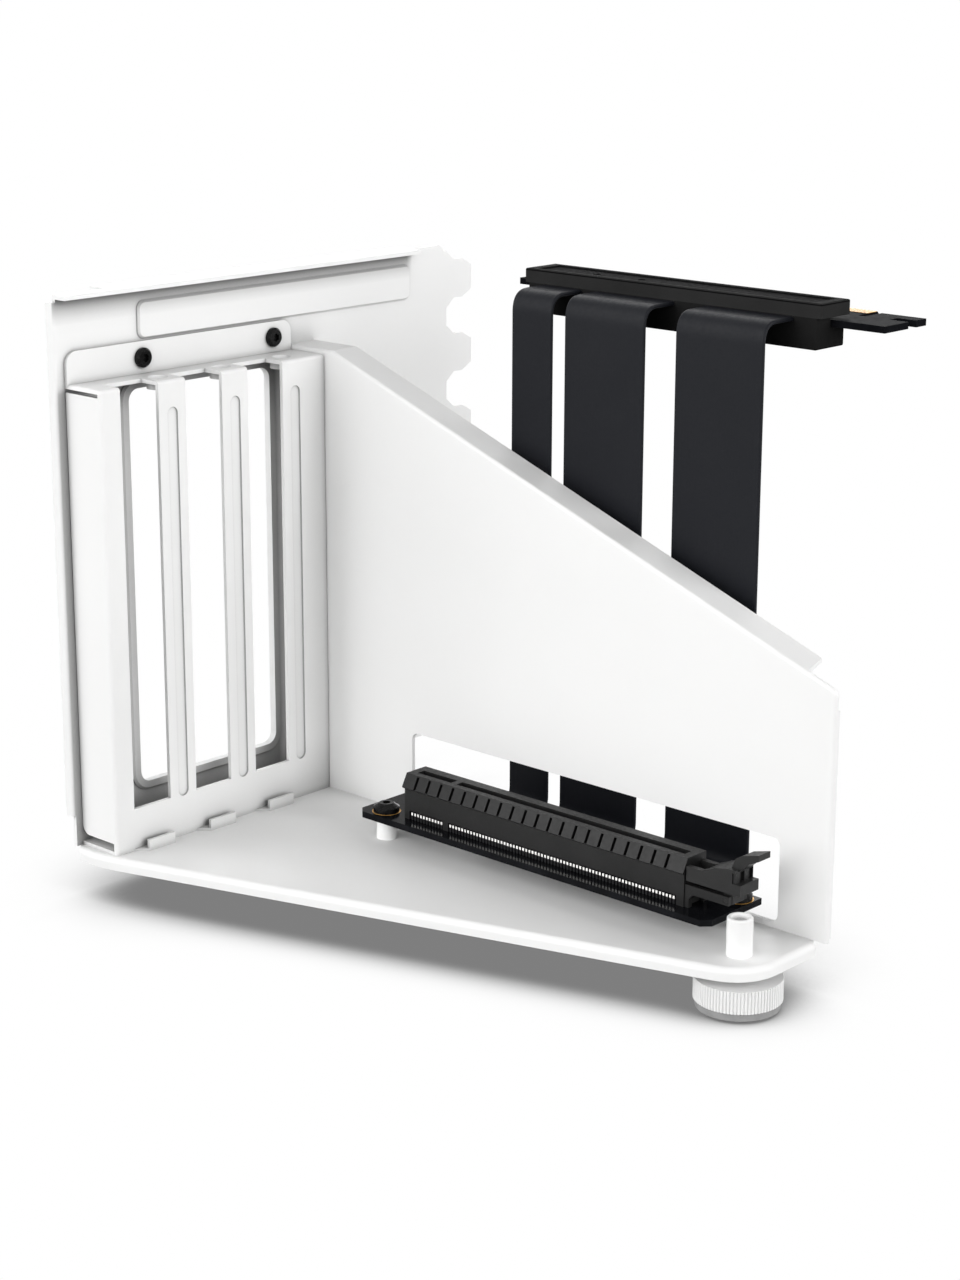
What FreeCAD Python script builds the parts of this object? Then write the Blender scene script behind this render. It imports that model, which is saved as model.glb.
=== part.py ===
import FreeCAD, Part
import math
import os

import Sketcher

V = FreeCAD.Vector

# Sizes in millimetres. X runs forward from the rear plate's back face,
# Y runs back from the side panel's face, Z runs up from the base's top face.
SIZES = {
    # all folded sheet pieces
    "gauge": 1.0,
    "bend_radius": 1.5,
    "edge_bend": 0.9,
    "slot_pitch": 20.32,
    "slot_count": 3,
    # rear plate
    "plate_left": 75.0,
    "plate_right": 59.1,
    "plate_top": 137.6,
    "plate_corner": 2.6,
    "tooth_count": 7,
    "tooth_low": 6.18,
    "tooth_reach": 9.9,
    "tooth_neck": 2.9,
    "tooth_tip": 3.6,
    "tooth_root_half": 7.75,
    "tooth_half": 5.25,
    "tooth_tip_half": 3.3,
    "lip_depth": 3.5,
    "lip_right": 45.7,
    "back_flange_depth": 5.8,
    "back_flange_left": 59.1,
    "edge_flange_depth": 1.5,
    "edge_flange_low": 8.0,
    "edge_flange_gap": 1.8,
    "opening_left": 54.5,
    "opening_right": 8.0,
    "opening_low": 11.8,
    "opening_high": 112.6,
    "opening_corner": 3.0,
    "rim_width": 2.4,
    "rim_height": 1.0,
    "bar_left": 50.4,
    "bar_right": 44.3,
    "bar_low": 124.4,
    "bar_high": 133.7,
    "bar_corner": 2.0,
    "bar_height": 0.8,
    # slot cage
    "cage_reach": 14.1,
    "cage_left": 73.1,
    "cage_gap": 0.2,
    "ledge_top": 116.2,
    "flange_top": 124.0,
    "flange_corner": 3.0,
    "wall_gap": 0.2,
    "wall_low": 3.06,
    "wall_top": 114.3,
    "wall_corner": 2.5,
    "window_left": 67.1,
    "window_width": 11.8,
    "window_low": 10.8,
    "window_notch": 6.2,
    "groove_left": 51.0,
    "groove_width": 3.3,
    "groove_low": 10.4,
    "groove_high": 109.5,
    "groove_depth": 0.45,
    "ear_hole_left": 50.75,
    "ear_hole_reach": 8.9,
    "ear_hole_radius": 1.75,
    "ear_sink": 0.7,
    "collar_radius": 2.9,
    "collar_drop": 1.8,
    "hook_left": 64.8,
    "hook_width": 8.4,
    "hook_reach": 2.6,
    "hook_plate": 0.8,
    "hook_height": 2.8,
    "hook_shelf": 0.6,
    "hook_tail": 2.8,
    # cage screws
    "cage_screw_left": 49.8,
    "cage_screw_right": 6.5,
    "cage_screw_height": 120.0,
    "cage_screw_head": 2.45,
    "cage_screw_head_height": 1.3,
    "cage_screw_shank": 1.5,
    "cage_screw_length": 3.6,
    "screw_clearance": 0.08,
    "screw_socket": 1.1,
    "screw_socket_depth": 0.8,
    "screw_dome": 0.5,
    # support bracket
    "base_left": 75.6,
    "base_turn": 10.4,
    "base_front": 25.3,
    "base_margin": 15.2,
    "base_cut": 2.7,
    "relief_depth": 1.9,
    "relief_gap": 1.0,
    "base_rim": 3.2,
    "base_sweep": 40.0,
    "base_corner": 12.0,
    "panel_overhang": 2.2,
    "panel_low": 59.6,
    "panel_top": 117.4,
    "slope_start": 16.6,
    "panel_flange_gap": 8.5,
    "panel_flange_depth": 9.0,
    "panel_flange_slant": 2.4,
    "panel_rim_depth": 1.6,
    "panel_rim_top": 55.0,
    "panel_corner": 2.0,
    "weld_flange": 12.0,
    "weld_margin": 4.0,
    "cable_left": 44.7,
    "cable_margin": 3.6,
    "cable_low": 1.45,
    "cable_high": 21.85,
    "cable_corner": 1.9,
    # adjustable foot
    "foot_inset": 8.8,
    "foot_front": 18.0,
    "sleeve_radius": 3.0,
    "sleeve_height": 9.0,
    "sleeve_spigot": 2.6,
    "stud_radius": 1.95,
    "stud_clearance": 0.05,
    "stud_top": 8.2,
    "stud_chamfer": 0.5,
    "knob_radius": 10.2,
    "knob_top": 5.0,
    "knob_bottom": 10.3,
    "knurl_count": 80,
    "knurl_depth": 0.25,
    "knurl_half": 0.24,
    "pad_radius": 9.7,
    "pad_bottom": 12.7,
    "pad_edge": 0.6,
    "pivot_radius": 3.0,
    "pivot_depth": 1.2,
    "pivot_clearance": 0.05,
    # riser board and its fixings
    "board_left": 46.4,
    "board_margin": 9.6,
    "board_front": 21.9,
    "board_back": 1.4,
    "board_low": 5.4,
    "board_gauge": 1.6,
    "board_corner": 2.0,
    "screw_left_inset": 6.2,
    "screw_left_front": 17.5,
    "screw_right_inset": 3.7,
    "screw_right_front": 5.4,
    "standoff_radius": 2.5,
    "board_screw_shank": 1.45,
    "board_screw_head": 3.3,
    "board_screw_head_height": 2.3,
    "board_screw_dome": 1.5,
    "board_screw_length": 4.6,
    # card socket
    "socket_centre": 14.4,
    "socket_front_wall": 1.6,
    "socket_back_wall": 2.2,
    "socket_half": 3.75,
    "hood_half": 4.25,
    "hood_low": 14.75,
    "hood_step": 0.4,
    "hood_top_half": 2.5,
    "socket_top": 18.5,
    "hood_overhang": 0.5,
    "slit_lead": 0.9,
    "slit_margin": 3.6,
    "slit_count": 21,
    "slit_width": 0.8,
    "slit_low": 15.2,
    "slit_high": 18.2,
    "slit_depth": 2.4,
    "card_half": 1.15,
    "card_shift": 0.4,
    "card_floor": 10.5,
    "card_margin": 0.8,
    "key_margin": 0.6,
    "key_width": 1.8,
    "tail_recess": 0.9,
    "tail_recess_top": 9.3,
    "contact_first": 62.1,
    "contact_pitch": 1.0,
    "contact_short": 11,
    "contact_long": 71,
    "contact_width": 0.55,
    "contact_depth": 0.75,
    "contact_top": 8.9,
    "arm_tip": 1.0,
    "arm_low": 10.4,
    "arm_high": 12.5,
    "arm_inset": 0.3,
    "arm_gauge": 1.2,
    # card latch
    "pivot_inset": 11.2,
    "pivot_height": 11.5,
    "pin_radius": 0.55,
    "pin_clearance": 0.05,
    "latch_gap": 0.3,
    "latch_half": 3.4,
    "latch_arm": 1.4,
    "latch_low": 13.4,
    "latch_arm_top": 16.9,
    "latch_top": 19.2,
    "latch_drop": 0.7,
    "latch_fork": 5.4,
    "latch_foot": 4.2,
    "latch_ramp": 8.1,
    "latch_crest": 11.6,
    "latch_length": 13.7,
    "latch_nose": 1.6,
    "latch_nose_top": 16.0,
    "recess_first": 3.9,
    "recess_pitch": 3.2,
    "recess_count": 3,
    "recess_half": 0.85,
    "recess_depth": 0.8,
    "recess_high": 18.5,
    "thumb_half": 2.1,
    "thumb_length": 5.5,
    "thumb_heel": 3.0,
    "thumb_knee": 1.0,
    "thumb_top": 23.9,
    "thumb_dip": 1.2,
    "thumb_gauge": 1.5,
    # ribbon cables
    "ribbon_gauge": 1.0,
    "ribbon_lap": 2.0,
    "ribbon_plane": 14.0,
    "ribbon_high": 135.9,
    "ribbon_low_bend": 3.0,
    "ribbon_high_bend": 4.5,
    "narrow_left": 66.0,
    "narrow_width": 12.9,
    "mid_left": 83.0,
    "mid_width": 24.6,
    "wide_left": 116.9,
    "wide_width": 25.3,
    # cable plug
    "plug_left": 60.6,
    "plug_overhang": 0.6,
    "plug_front": 24.7,
    "plug_back": 35.8,
    "plug_low": 129.3,
    "plug_split": 136.6,
    "plug_top": 140.1,
    "plug_inset": 1.2,
    "plug_edge": 0.4,
    "plug_recess": 0.4,
    "plug_recess_margin": 1.3,
    "plug_board_top": 135.8,
    "plug_board_gauge": 1.6,
    "plug_board_clearance": 0.1,
    "plug_board_front": 30.2,
    "plug_board_left": 50.4,
    "plug_shoulder_front": 34.0,
    "plug_shoulder_back": 40.0,
    "tongue_lead": 1.5,
    "tongue_tail": 0.5,
    "tongue_back": 48.5,
    "tongue_bevel": 0.5,
    "plug_hook_gap": 2.0,
    "plug_hook_neck": 9.0,
    "plug_hook_end": 14.1,
    "board_hook_front": 42.8,
    "board_hook_back": 46.8,
    "board_tail_back": 39.6,
    "finger_first": 65.6,
    "finger_front": 43.8,
    "finger_width": 0.7,
    "finger_gauge": 0.1,
    "plug_screw_first": 79.3,
    "plug_screw_pitch": 14.1,
    "plug_screw_count": 2,
    "plug_screw_back": 29.8,
    "plug_screw_radius": 0.9,
    "plug_screw_depth": 2.2,
}

doc = FreeCAD.newDocument("gpu_mount")
sheet = doc.addObject("Spreadsheet::Sheet", "Sizes")
for row, (name, number) in enumerate(SIZES.items(), start=1):
    sheet.set(f"A{row}", name)
    sheet.set(f"B{row}", str(number))
    sheet.setAlias(f"B{row}", name)
doc.recompute()


class Size:
    """A number together with the expression that gives it from the sheet."""

    def __init__(self, value, text):
        self.value = value
        self.text = text

    def __add__(self, other):
        other = size(other)
        return Size(self.value + other.value, f"({self.text} + {other.text})")

    def __sub__(self, other):
        other = size(other)
        return Size(self.value - other.value, f"({self.text} - {other.text})")

    def __mul__(self, other):
        other = size(other)
        return Size(self.value * other.value, f"({self.text} * {other.text})")

    def __truediv__(self, other):
        other = size(other)
        return Size(self.value / other.value, f"({self.text} / {other.text})")

    def __neg__(self):
        return Size(-self.value, f"(-{self.text})")

    def __radd__(self, other):
        return size(other) + self

    def __rsub__(self, other):
        return size(other) - self

    def __rmul__(self, other):
        return size(other) * self


def size(value):
    """Any number as a Size."""
    if isinstance(value, Size):
        return value
    return Size(float(value), f"({float(value)})")


def root(value):
    return Size(math.sqrt(value.value), f"sqrt({value.text})")


class Sheet:
    """Gives each named size of the sheet."""

    def __getattr__(self, name):
        return Size(float(sheet.get(name)), f"Sizes.{name}")


S = Sheet()
nodes = []


def bind(thing, prop, value):
    """Ties a property to the sheet."""
    thing.setExpression(prop, size(value).text)


def body(name):
    return doc.addObject("PartDesign::Body", name)


def sketch(owner, plane, offset=0):
    """An empty sketch on one of the body's base planes, moved along the plane's normal."""
    new = owner.newObject("Sketcher::SketchObject", f"{owner.Name}_sketch")
    base = next(item for item in owner.Origin.OriginFeatures if item.Role == f"{plane}_Plane")
    new.AttachmentSupport = [(base, "")]
    new.MapMode = "FlatFace"
    if isinstance(offset, Size):
        bind(new, "AttachmentOffset.Base.z", offset)
    return new


def hold(drawn, kind, *terms):
    """One sketch constraint, tied to the sheet where its last term is a Size."""
    if isinstance(terms[-1], Size):
        number = drawn.addConstraint(Sketcher.Constraint(kind, *terms[:-1], terms[-1].value))
        drawn.setExpression(f"Constraints[{number}]", terms[-1].text)
    else:
        drawn.addConstraint(Sketcher.Constraint(kind, *terms))


def polygon(drawn, corners):
    """A closed outline with every corner placed from the origin."""
    corners = [(size(a), size(b)) for a, b in corners]
    first = drawn.GeometryCount
    count = len(corners)
    for index, (a, b) in enumerate(corners):
        c, d = corners[(index + 1) % count]
        drawn.addGeometry(Part.LineSegment(V(a.value, b.value, 0), V(c.value, d.value, 0)))
    for index in range(count):
        hold(drawn, "Coincident", first + index, 2, first + (index + 1) % count, 1)
    for index, (a, b) in enumerate(corners):
        hold(drawn, "DistanceX", -1, 1, first + index, 1, a)
        hold(drawn, "DistanceY", -1, 1, first + index, 1, b)


def rectangle(drawn, left, right, low, high):
    polygon(drawn, [(left, low), (right, low), (right, high), (left, high)])


def arc(centre, radius, start, end):
    circle = Part.Circle(V(*centre, 0), V(0, 0, 1), radius)
    return Part.ArcOfCircle(circle, math.radians(start), math.radians(end))


def rounded(drawn, left, right, low, high, radius):
    """A rectangle with four equal round corners."""
    a, b, c, d, r = (item.value for item in (left, right, low, high, radius))
    n = drawn.GeometryCount
    drawn.addGeometry(Part.LineSegment(V(a + r, c, 0), V(b - r, c, 0)))
    drawn.addGeometry(Part.LineSegment(V(b, c + r, 0), V(b, d - r, 0)))
    drawn.addGeometry(Part.LineSegment(V(b - r, d, 0), V(a + r, d, 0)))
    drawn.addGeometry(Part.LineSegment(V(a, d - r, 0), V(a, c + r, 0)))
    drawn.addGeometry(arc((b - r, c + r), r, 270, 360))
    drawn.addGeometry(arc((b - r, d - r), r, 0, 90))
    drawn.addGeometry(arc((a + r, d - r), r, 90, 180))
    drawn.addGeometry(arc((a + r, c + r), r, 180, 270))
    for side in range(4):
        hold(drawn, "Tangent", n + side, 2, n + 4 + side, 1)
        hold(drawn, "Tangent", n + 4 + side, 2, n + (side + 1) % 4, 1)
    for side in (0, 2):
        hold(drawn, "Horizontal", n + side)
        hold(drawn, "Vertical", n + side + 1)
    for corner in (5, 6, 7):
        hold(drawn, "Equal", n + 4, n + corner)
    hold(drawn, "Radius", n + 4, radius)
    hold(drawn, "DistanceY", -1, 1, n, 1, low)
    hold(drawn, "DistanceX", -1, 1, n + 1, 1, right)
    hold(drawn, "DistanceY", -1, 1, n + 2, 1, high)
    hold(drawn, "DistanceX", -1, 1, n + 3, 1, left)


def upright_slot(drawn, centre, low, high, radius):
    """A tall slot with round ends."""
    x, c, d, r = (item.value for item in (centre, low, high, radius))
    n = drawn.GeometryCount
    drawn.addGeometry(Part.LineSegment(V(x + r, c + r, 0), V(x + r, d - r, 0)))
    drawn.addGeometry(arc((x, d - r), r, 0, 180))
    drawn.addGeometry(Part.LineSegment(V(x - r, d - r, 0), V(x - r, c + r, 0)))
    drawn.addGeometry(arc((x, c + r), r, 180, 360))
    for side in range(4):
        hold(drawn, "Tangent", n + side, 2, n + (side + 1) % 4, 1)
    hold(drawn, "Vertical", n)
    hold(drawn, "Equal", n + 1, n + 3)
    hold(drawn, "Radius", n + 1, radius)
    hold(drawn, "DistanceX", -1, 1, n + 1, 3, centre)
    hold(drawn, "DistanceY", -1, 1, n + 1, 3, high - radius)
    hold(drawn, "DistanceY", -1, 1, n + 3, 3, low + radius)


def circle(drawn, a, b, radius):
    a, b = size(a), size(b)
    n = drawn.GeometryCount
    drawn.addGeometry(Part.Circle(V(a.value, b.value, 0), V(0, 0, 1), radius.value))
    hold(drawn, "Radius", n, radius)
    hold(drawn, "DistanceX", -1, 1, n, 3, a)
    hold(drawn, "DistanceY", -1, 1, n, 3, b)


def pad(owner, drawn, length, back=False):
    new = owner.newObject("PartDesign::Pad", f"{owner.Name}_pad")
    new.Profile = drawn
    new.Reversed = back
    bind(new, "Length", length)
    owner.Tip = new
    return new


def pocket(owner, drawn, length, back=False):
    new = owner.newObject("PartDesign::Pocket", f"{owner.Name}_pocket")
    new.Profile = drawn
    new.Reversed = back
    bind(new, "Length", length)
    owner.Tip = new
    return new


def revolve(owner, drawn):
    """A turned shape about the sketch's upright axis."""
    new = owner.newObject("PartDesign::Revolution", f"{owner.Name}_turned")
    new.Profile = drawn
    new.ReferenceAxis = (drawn, ["V_Axis"])
    new.Angle = 360.0
    owner.Tip = new
    return new


def row(owner, feature, axis, pitch, count):
    """Repeats a feature along an axis of its own sketch."""
    new = owner.newObject("PartDesign::LinearPattern", f"{owner.Name}_row")
    new.Originals = [feature]
    new.Direction = (feature.Profile[0], [axis])
    bind(new, "Length", pitch * (count - 1))
    bind(new, "Occurrences", count)
    owner.Tip = new
    return new


def ring(owner, feature, count):
    """Repeats a feature round its sketch's normal."""
    new = owner.newObject("PartDesign::PolarPattern", f"{owner.Name}_ring")
    new.Originals = [feature]
    new.Axis = (feature.Profile[0], ["N_Axis"])
    new.Angle = 360.0
    bind(new, "Occurrences", count)
    owner.Tip = new
    return new


def within(low, high, limits):
    if limits is None:
        return True
    if isinstance(limits, tuple):
        first, last = size(limits[0]).value, size(limits[1]).value
    else:
        first = last = size(limits).value
    return low > first - 0.002 and high < last + 0.002


def edges(owner, x=None, y=None, z=None):
    """Names of the edges of the body so far that lie inside the given limits."""
    doc.recompute()
    found = []
    for index, edge in enumerate(owner.Tip.Shape.Edges, start=1):
        box = edge.BoundBox
        if not within(box.XMin, box.XMax, x):
            continue
        if not within(box.YMin, box.YMax, y):
            continue
        if within(box.ZMin, box.ZMax, z):
            found.append(f"Edge{index}")
    return found


def soften(owner, names, radius, kind="Fillet"):
    """Rounds or bevels the named edges."""
    if not names:
        raise ValueError(f"{owner.Name}: no edge found to soften")
    last = owner.Tip
    new = owner.newObject(f"PartDesign::{kind}", f"{owner.Name}_{kind.lower()}")
    new.Base = (last, names)
    bind(new, "Radius" if kind == "Fillet" else "Size", radius)
    owner.Tip = new
    return new


def keep(piece, label):
    """Hands a finished piece to the list of nodes."""
    piece.Label = label
    nodes.append(piece)
    return piece


def place(piece, x, y, z):
    bind(piece, "Placement.Base.x", x)
    bind(piece, "Placement.Base.y", y)
    bind(piece, "Placement.Base.z", z)


def group(label, pieces):
    """Separate equal solids under one name."""
    together = doc.addObject("Part::Compound", label)
    together.Links = pieces
    return keep(together, label)


def slab(owner, plane, offset, sides, thickness, back=False):
    """A plain rectangular fold of sheet."""
    drawn = sketch(owner, plane, offset)
    rectangle(drawn, *sides)
    return pad(owner, drawn, thickness, back)


# Rear plate: toothed plate, rimmed opening, raised bar, folded edges

plate = body("rear_plate")
outline = sketch(plate, "YZ")
polygon(outline, [
    (-S.plate_left, 0),
    (S.plate_right, 0),
    (S.plate_right, S.plate_top - S.plate_corner),
    (S.plate_right - S.plate_corner, S.plate_top),
    (-S.plate_left, S.plate_top),
])
pad(plate, outline, S.gauge)

tooth = sketch(plate, "YZ")
tooth_neck = S.plate_right + S.tooth_neck
tooth_end = S.plate_right + S.tooth_reach
polygon(tooth, [
    (S.plate_right - S.gauge, S.tooth_low - S.tooth_half),
    (S.plate_right, S.tooth_low - S.tooth_half),
    (tooth_end - S.tooth_tip, S.tooth_low - S.tooth_half),
    (tooth_end, S.tooth_low - S.tooth_tip_half),
    (tooth_end, S.tooth_low + S.tooth_tip_half),
    (tooth_end - S.tooth_tip, S.tooth_low + S.tooth_half),
    (tooth_neck, S.tooth_low + S.tooth_half),
    (S.plate_right, S.tooth_low + S.tooth_root_half),
    (S.plate_right - S.gauge, S.tooth_low + S.tooth_root_half),
])
row(plate, pad(plate, tooth, S.gauge), "V_Axis", S.slot_pitch, S.tooth_count)
web = sketch(plate, "YZ")
web_low = S.tooth_low + S.slot_pitch
polygon(web, [
    (S.plate_right - S.gauge, web_low - S.tooth_root_half),
    (S.plate_right, web_low - S.tooth_root_half),
    (tooth_neck, web_low - S.tooth_half),
    (S.plate_right - S.gauge, web_low - S.tooth_half),
])
row(plate, pad(plate, web, S.gauge), "V_Axis", S.slot_pitch, S.tooth_count - 1)

slab(plate, "XY", S.plate_top - S.gauge,
     (0, S.gauge + S.lip_depth, -S.plate_left, S.lip_right), S.gauge)
slab(plate, "XY", S.plate_top - S.gauge,
     (-S.back_flange_depth, S.gauge, -S.back_flange_left, S.lip_right), S.gauge)
slab(plate, "XZ", S.plate_left + S.gauge,
     (-S.edge_flange_depth, S.gauge, S.edge_flange_low, S.plate_top - S.edge_flange_gap), S.gauge, back=True)
soften(plate, edges(plate, x=S.gauge, y=-S.plate_left - S.gauge), S.edge_bend)

rim = sketch(plate, "YZ", S.gauge)
rounded(rim, -S.opening_left - S.rim_width, -S.opening_right + S.rim_width,
        S.opening_low - S.rim_width, S.opening_high + S.rim_width, S.opening_corner + S.rim_width)
pad(plate, rim, S.rim_height)
soften(plate, edges(plate, x=S.gauge + S.rim_height), S.rim_height * 0.6, "Chamfer")
bar = sketch(plate, "YZ", S.gauge)
rounded(bar, -S.bar_left, S.bar_right, S.bar_low, S.bar_high, S.bar_corner)
pad(plate, bar, S.bar_height)
soften(plate, edges(plate, x=S.gauge + S.bar_height), S.bar_height * 0.6, "Chamfer")
opening = sketch(plate, "YZ", S.gauge + S.rim_height)
rounded(opening, -S.opening_left, -S.opening_right, S.opening_low, S.opening_high, S.opening_corner)
pocket(plate, opening, S.gauge + S.rim_height)
hollow = sketch(plate, "YZ")
rounded(hollow, -S.bar_left + S.gauge, S.bar_right - S.gauge,
        S.bar_low + S.gauge, S.bar_high - S.gauge, S.bar_corner - S.gauge * 0.5)
pocket(plate, hollow, S.bar_height, back=True)
drill = sketch(plate, "YZ", S.gauge)
for across in (S.cage_screw_left, S.cage_screw_right):
    circle(drill, -across, S.cage_screw_height, S.cage_screw_shank + S.screw_clearance)
pocket(plate, drill, S.gauge)
soften(plate, edges(plate, x=S.gauge + S.lip_depth, z=S.plate_top), S.edge_bend * 0.5)
keep(plate, "rear_plate")

# Slot cage: one folded sheet that carries the card's bracket

cage = body("slot_cage")
across = (-S.cage_left, -S.cage_gap)
face = sketch(cage, "YZ", S.cage_reach - S.gauge)
rectangle(face, *across, 0, S.ledge_top)
pad(cage, face, S.gauge)
slab(cage, "XY", S.ledge_top - S.gauge, (S.gauge, S.cage_reach, *across), S.gauge)
slab(cage, "XY", 0, (S.gauge, S.cage_reach, *across), S.gauge)
slab(cage, "XZ", S.cage_left,
     (S.gauge + S.wall_gap, S.cage_reach, S.wall_low, S.wall_top), S.gauge, back=True)
slab(cage, "YZ", S.gauge, (*across, S.ledge_top - S.gauge, S.flange_top), S.gauge)
soften(cage, edges(cage, x=(S.gauge, S.gauge * 2), y=-S.cage_left, z=S.flange_top)
       + edges(cage, x=(S.gauge, S.gauge * 2), y=-S.cage_gap, z=S.flange_top), S.flange_corner)
soften(cage, edges(cage, x=S.gauge + S.wall_gap, z=S.wall_low), S.wall_corner)
soften(cage, edges(cage, x=S.cage_reach, y=-S.cage_left), S.edge_bend)
soften(cage, edges(cage, x=S.cage_reach, z=S.ledge_top), S.edge_bend)

collar = sketch(cage, "XY", S.ledge_top - S.gauge)
circle(collar, S.ear_hole_reach, -S.ear_hole_left, S.collar_radius)
row(cage, pad(cage, collar, S.collar_drop, back=True), "V_Axis", S.slot_pitch, S.slot_count)
ear_hole = sketch(cage, "XY", S.ledge_top)
circle(ear_hole, S.ear_hole_reach, -S.ear_hole_left, S.ear_hole_radius)
row(cage, pocket(cage, ear_hole, S.gauge + S.collar_drop), "V_Axis", S.slot_pitch, S.slot_count)
soften(cage, edges(cage, x=(S.ear_hole_reach - S.ear_hole_radius, S.ear_hole_reach + S.ear_hole_radius),
                   z=S.ledge_top), S.ear_sink, "Chamfer")
window = sketch(cage, "YZ", S.cage_reach)
rectangle(window, -S.window_left, S.window_width - S.window_left, S.window_low, S.ledge_top + S.gauge)
row(cage, pocket(cage, window, S.window_notch), "H_Axis", S.slot_pitch, S.slot_count)

pressed = sketch(cage, "YZ", S.cage_reach - S.gauge)
upright_slot(pressed, -S.groove_left, S.groove_low - S.groove_depth, S.groove_high + S.groove_depth,
             S.groove_width * 0.5 + S.groove_depth)
row(cage, pad(cage, pressed, S.groove_depth, back=True), "H_Axis", S.slot_pitch, S.slot_count)
groove = sketch(cage, "YZ", S.cage_reach)
upright_slot(groove, -S.groove_left, S.groove_low, S.groove_high, S.groove_width * 0.5)
row(cage, pocket(cage, groove, S.groove_depth), "H_Axis", S.slot_pitch, S.slot_count)

shelf = sketch(cage, "XY")
hook_end = S.cage_reach + S.hook_reach
hook_right = S.hook_width - S.hook_left
polygon(shelf, [
    (S.cage_reach - S.gauge, -S.hook_left - S.hook_tail),
    (S.cage_reach, -S.hook_left - S.hook_tail),
    (hook_end, -S.hook_left),
    (hook_end, hook_right),
    (S.cage_reach - S.gauge, hook_right),
])
row(cage, pad(cage, shelf, S.hook_shelf), "V_Axis", S.slot_pitch, S.slot_count)
upright = sketch(cage, "XY")
rectangle(upright, hook_end - S.hook_plate, hook_end, -S.hook_left, hook_right)
row(cage, pad(cage, upright, S.hook_height), "V_Axis", S.slot_pitch, S.slot_count)
drill = sketch(cage, "YZ", S.gauge * 2)
for spot in (S.cage_screw_left, S.cage_screw_right):
    circle(drill, -spot, S.cage_screw_height, S.cage_screw_shank + S.screw_clearance)
pocket(cage, drill, S.gauge)
keep(cage, "slot_cage")


# Screws: dome head, plain shank, six-sided socket

def screw(name, shank, head, head_height, dome, length):
    """A screw with its axis on Z, its head's seat at the origin and its shank below."""
    new = body(name)
    profile = sketch(new, "XZ")
    polygon(profile, [
        (0, -length),
        (shank, -length),
        (shank, 0),
        (head, 0),
        (head, head_height * 0.55),
        (head - dome, head_height),
        (0, head_height),
    ])
    revolve(new, profile)
    socket = sketch(new, "XY", head_height)
    polygon(socket, [(S.screw_socket * x, S.screw_socket * y) for x, y in (
        (math.cos(math.radians(60 * side)), math.sin(math.radians(60 * side))) for side in range(6))])
    pocket(new, socket, S.screw_socket_depth)
    return new


pair = []
for name, spot in (("left", S.cage_screw_left), ("right", S.cage_screw_right)):
    new = screw(f"cage_screw_{name}", S.cage_screw_shank, S.cage_screw_head,
                S.cage_screw_head_height, S.screw_dome, S.cage_screw_length)
    new.Placement = FreeCAD.Placement(V(0, 0, 0), FreeCAD.Rotation(V(0, 1, 0), 90))
    place(new, S.gauge * 2, -spot, S.cage_screw_height)
    pair.append(new)
group("cage_screws", pair)

# Lengths that follow the socket's contacts

contact_gap = S.key_width + S.key_margin * 2
contact_span = S.contact_pitch * (S.contact_short + S.contact_long - 2) + contact_gap
card_first = S.contact_first - S.card_margin
card_last = S.contact_first + contact_span + S.card_margin
key_left = S.contact_first + S.contact_pitch * (S.contact_short - 1) + S.key_margin
card_spans = ((card_first, key_left), (key_left + S.key_width, card_last))
socket_left = card_first - S.socket_front_wall
socket_right = card_last + S.socket_back_wall
board_right = socket_right + S.board_margin
latch_left = socket_right + S.latch_gap
pivot_reach = latch_left + S.pivot_inset
cable_right = board_right + S.cable_margin
base_right = board_right + S.base_margin
panel_right = base_right + S.panel_overhang
panel_flange_end = panel_right - S.panel_flange_gap
foot_reach = base_right - S.foot_inset

# Support bracket: base with a turned-down rim and a sloping panel, one folded sheet

bracket = body("support_bracket")
plan = sketch(bracket, "XY", -S.base_rim)
relief = base_right - S.relief_depth
polygon(plan, [
    (0, S.base_cut - S.base_left),
    (S.base_cut, -S.base_left),
    (S.base_turn, -S.base_left),
    (base_right, -S.base_front),
    (base_right, -S.relief_gap),
    (relief, -S.relief_gap),
    (relief, S.gauge),
    (0, S.gauge),
])
pad(bracket, plan, S.base_rim)
run = base_right - S.base_turn
rise = S.base_left - S.base_front
span = root(run * run + rise * rise)
inner_turn = S.base_turn - S.gauge * rise / span + S.gauge * (1 - run / span) * run / rise
inner_right = base_right - S.gauge
inner_front = (S.gauge * run / span - S.base_left
               + (inner_right - S.base_turn + S.gauge * rise / span) / run * rise)
under = sketch(bracket, "XY", -S.base_rim)
polygon(under, [
    (-S.gauge, S.gauge - S.base_left),
    (inner_turn, S.gauge - S.base_left),
    (inner_right, inner_front),
    (inner_right, S.gauge * 2),
    (-S.gauge, S.gauge * 2),
])
pocket(bracket, under, S.base_rim - S.gauge, back=True)
soften(bracket, edges(bracket, x=inner_turn, y=S.gauge - S.base_left), S.base_sweep - S.gauge)
soften(bracket, edges(bracket, x=inner_right, y=inner_front), S.base_corner - S.gauge)
soften(bracket, edges(bracket, x=S.base_turn, y=-S.base_left), S.base_sweep)
soften(bracket, edges(bracket, x=base_right, y=-S.base_front), S.base_corner)
soften(bracket, edges(bracket, x=(S.base_cut, base_right), y=(-S.base_left, -S.base_front * 0.5), z=0)
       + edges(bracket, x=base_right, z=0), S.bend_radius)

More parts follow.
